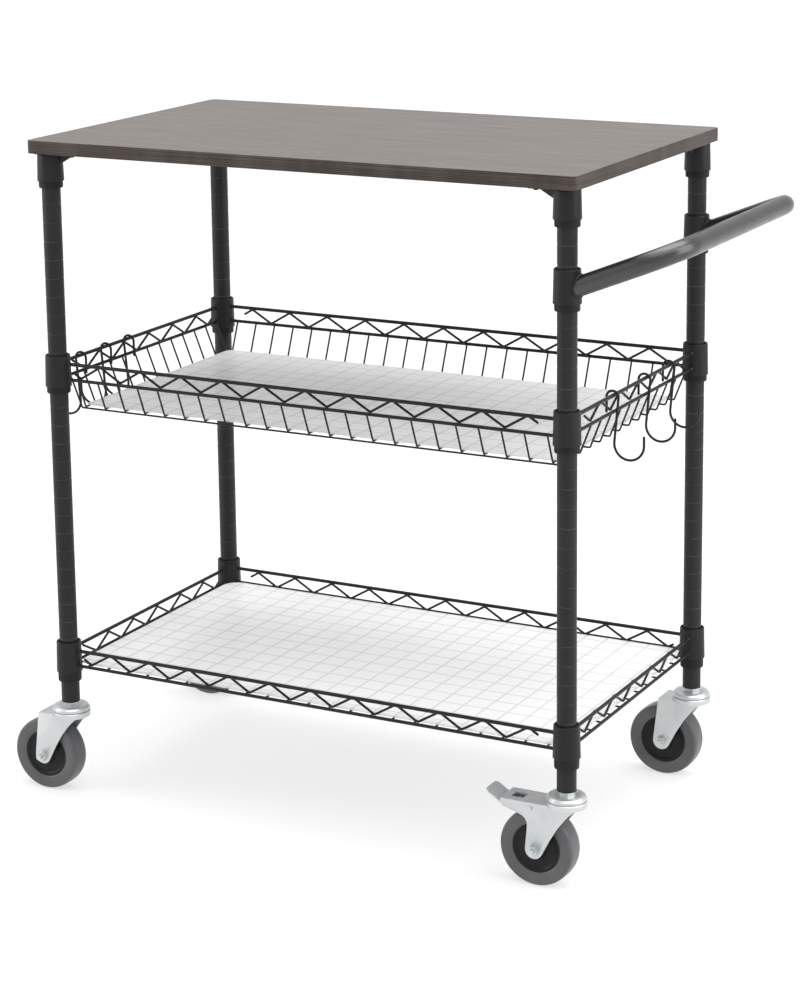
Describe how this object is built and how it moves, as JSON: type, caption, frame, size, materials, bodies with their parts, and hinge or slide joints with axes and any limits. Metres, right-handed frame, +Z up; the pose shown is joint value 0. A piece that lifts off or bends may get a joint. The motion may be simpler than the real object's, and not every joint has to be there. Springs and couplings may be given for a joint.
{
  "type": "wire shelf cart",
  "caption": "Wheeled cart with a flat wood-grain tabletop, a sloped-side wire basket and a wire shelf clamped to grooved posts on swivel casters, with a tube push handle and hanging hooks.",
  "frame": {"origin": "on the floor, midway between the four posts", "axes": "+X along the length towards the push handle, +Y to the back, +Z up"},
  "size_m": [1.016, 0.4855, 0.92],
  "materials": {
    "laminate": "satin grey-brown wood-grain laminate",
    "edge_band": "satin, fine stripes along the edge",
    "black_steel": "satin powder coat",
    "black_plastic": "moulded, lightly textured",
    "liner": "milky translucent sheet",
    "zinc": "bright zinc plate",
    "grey_tyre": "smooth grey thermoplastic rubber"
  },
  "bodies": {
    "cart_frame": {"tabletop": "laminate", "edge_band": "edge_band", "bracket_screws": "black_steel", "post_caps": "black_plastic", "stem_sockets": "black_plastic", "top_sleeves": "black_plastic", "handle_sleeves": "black_plastic", "basket_sleeves": "black_plastic", "shelf_sleeves": "black_plastic", "handle_bar": "black_steel", "handle_collars": "black_steel", "basket_collars": "black_steel", "basket_rim": "black_steel", "basket_truss": "black_steel", "basket_long_wires": "black_steel", "basket_cross_wires": "black_steel", "basket_liner": "liner", "shelf_collars": "black_steel", "shelf_rim": "black_steel", "shelf_truss": "black_steel", "shelf_long_wires": "black_steel", "shelf_cross_wires": "black_steel", "shelf_liner": "liner", "caster_stems": "zinc", "upper_races": "zinc", "swivel_balls": "zinc", "top_bracket_front_left": "black_steel", "top_bracket_front_right": "black_steel", "top_bracket_back_left": "black_steel", "top_bracket_back_right": "black_steel", "post_front_left": "black_steel", "post_front_right": "black_steel", "post_back_left": "black_steel", "post_back_right": "black_steel"},
    "swivel_front_left": {"fork_front_left": "zinc", "fork_hardware_front_left": "zinc"},
    "wheel_front_left": {"hub_front_left": "black_plastic", "tyre_front_left": "grey_tyre"},
    "swivel_front_right": {"fork_front_right": "zinc", "fork_hardware_front_right": "zinc", "brake_spring_front_right": "zinc"},
    "wheel_front_right": {"hub_front_right": "black_plastic", "tyre_front_right": "grey_tyre"},
    "swivel_back_left": {"fork_back_left": "zinc", "fork_hardware_back_left": "zinc", "brake_spring_back_left": "zinc"},
    "wheel_back_left": {"hub_back_left": "black_plastic", "tyre_back_left": "grey_tyre"},
    "swivel_back_right": {"fork_back_right": "zinc", "fork_hardware_back_right": "zinc"},
    "wheel_back_right": {"hub_back_right": "black_plastic", "tyre_back_right": "grey_tyre"},
    "brake_pedal_front_right": {"brake_lever_front_right": "zinc"},
    "brake_pedal_back_left": {"brake_lever_back_left": "zinc"},
    "hook_right_front": {"hook_right_front": "black_steel"},
    "hook_right_middle": {"hook_right_middle": "black_steel"},
    "hook_right_back": {"hook_right_back": "black_steel"},
    "hook_left_front": {"hook_left_front": "black_steel"},
    "hook_left_middle": {"hook_left_middle": "black_steel"},
    "hook_left_back": {"hook_left_back": "black_steel"}
  },
  "joints": [
    {"name": "swivel_front_left", "type": "hinge", "parent": "cart_frame", "child": "swivel_front_left", "pos_m": [-0.378, -0.214, 0.115], "axis": [0, 0, 1], "continuous": true},
    {"name": "wheel_spin_front_left", "type": "hinge", "parent": "swivel_front_left", "child": "wheel_front_left", "pos_m": [-0.415, -0.214, 0.0508], "axis": [0, 1, 0], "continuous": true},
    {"name": "swivel_front_right", "type": "hinge", "parent": "cart_frame", "child": "swivel_front_right", "pos_m": [0.378, -0.214, 0.115], "axis": [0, 0, 1], "continuous": true},
    {"name": "wheel_spin_front_right", "type": "hinge", "parent": "swivel_front_right", "child": "wheel_front_right", "pos_m": [0.341, -0.214, 0.0508], "axis": [0, 1, 0], "continuous": true},
    {"name": "swivel_back_left", "type": "hinge", "parent": "cart_frame", "child": "swivel_back_left", "pos_m": [-0.378, 0.214, 0.115], "axis": [0, 0, 1], "continuous": true},
    {"name": "wheel_spin_back_left", "type": "hinge", "parent": "swivel_back_left", "child": "wheel_back_left", "pos_m": [-0.415, 0.214, 0.0508], "axis": [0, 1, 0], "continuous": true},
    {"name": "swivel_back_right", "type": "hinge", "parent": "cart_frame", "child": "swivel_back_right", "pos_m": [0.378, 0.214, 0.115], "axis": [0, 0, 1], "continuous": true},
    {"name": "wheel_spin_back_right", "type": "hinge", "parent": "swivel_back_right", "child": "wheel_back_right", "pos_m": [0.341, 0.214, 0.0508], "axis": [0, 1, 0], "continuous": true},
    {"name": "brake_press_front_right", "type": "hinge", "parent": "swivel_front_right", "child": "brake_pedal_front_right", "pos_m": [0.335, -0.214, 0.1062], "axis": [0, -1, 0], "range_deg": [0, 8.5]},
    {"name": "brake_press_back_left", "type": "hinge", "parent": "swivel_back_left", "child": "brake_pedal_back_left", "pos_m": [-0.421, 0.214, 0.1062], "axis": [0, -1, 0], "range_deg": [0, 8.5]},
    {"name": "hook_right_front_swing", "type": "hinge", "parent": "cart_frame", "child": "hook_right_front", "pos_m": [0.378, -0.0675, 0.6134], "axis": [0, -1, 0], "range_deg": [0, 7]},
    {"name": "hook_right_middle_swing", "type": "hinge", "parent": "cart_frame", "child": "hook_right_middle", "pos_m": [0.378, 0.0385, 0.6134], "axis": [0, -1, 0], "range_deg": [0, 7]},
    {"name": "hook_right_back_swing", "type": "hinge", "parent": "cart_frame", "child": "hook_right_back", "pos_m": [0.378, 0.123, 0.6134], "axis": [0, -1, 0], "range_deg": [0, 7]},
    {"name": "hook_left_front_swing", "type": "hinge", "parent": "cart_frame", "child": "hook_left_front", "pos_m": [-0.378, -0.1625, 0.6134], "axis": [0, 1, 0], "range_deg": [0, 7]},
    {"name": "hook_left_middle_swing", "type": "hinge", "parent": "cart_frame", "child": "hook_left_middle", "pos_m": [-0.378, -0.101, 0.6134], "axis": [0, 1, 0], "range_deg": [0, 7]},
    {"name": "hook_left_back_swing", "type": "hinge", "parent": "cart_frame", "child": "hook_left_back", "pos_m": [-0.378, -0.0435, 0.6134], "axis": [0, 1, 0], "range_deg": [0, 7]}
  ]
}
